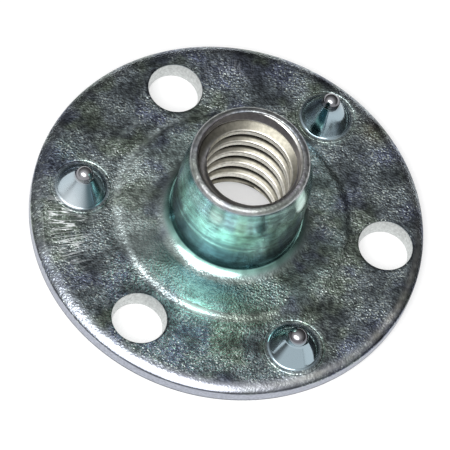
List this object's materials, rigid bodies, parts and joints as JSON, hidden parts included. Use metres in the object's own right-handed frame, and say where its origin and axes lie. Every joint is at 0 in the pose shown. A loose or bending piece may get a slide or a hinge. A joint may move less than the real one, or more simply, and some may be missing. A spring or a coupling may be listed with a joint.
{
  "type": "tee nut",
  "caption": "Round-flanged tee nut with a threaded barrel in the middle, and brad holes and conical spurs in turn round the flange.",
  "frame": {"origin": "where the barrel's axis meets the flange's flat underside", "axes": "+Z along the barrel's axis, from the flange to the lip; +X through the middle of the first brad hole"},
  "size_m": [0.024, 0.0239, 0.0085],
  "materials": {
    "zinc_plate": "electroplated zinc with a clear blue chromate, glossy, dark slate grey with teal and lilac tints and fine dust and scratches"
  },
  "bodies": {
    "root": {"tee_nut": "zinc_plate"}
  },
  "joints": []
}
